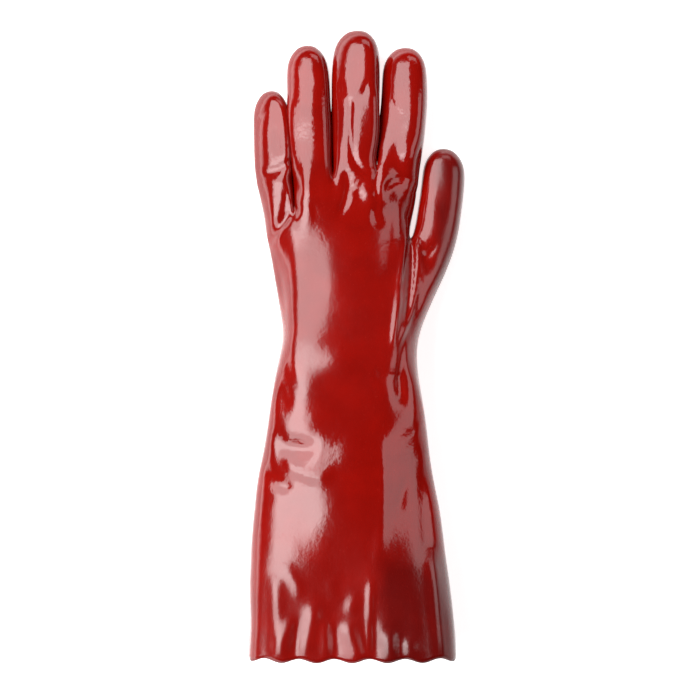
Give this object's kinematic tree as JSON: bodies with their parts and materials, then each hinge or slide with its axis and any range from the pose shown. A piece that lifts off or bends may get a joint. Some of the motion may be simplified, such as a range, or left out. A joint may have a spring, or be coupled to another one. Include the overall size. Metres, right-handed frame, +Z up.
{
  "type": "long coated work glove",
  "caption": "Long dipped PVC work glove for a left hand, lying palm down, hollow, with a flared cuff and a wavy cut hem.",
  "frame": {"origin": "middle of the footprint, on the surface that the glove lies on", "axes": "+Y from the cuff to the fingertips, +Z up out of the back of the hand, +X to the thumb's side"},
  "size_m": [0.14, 0.4048, 0.0745],
  "materials": {
    "pvc_coating": "glossy soft red PVC, bonded to an off-white cotton knit that shows on the inside"
  },
  "bodies": {
    "root": {"coated_glove": "pvc_coating"}
  },
  "joints": []
}
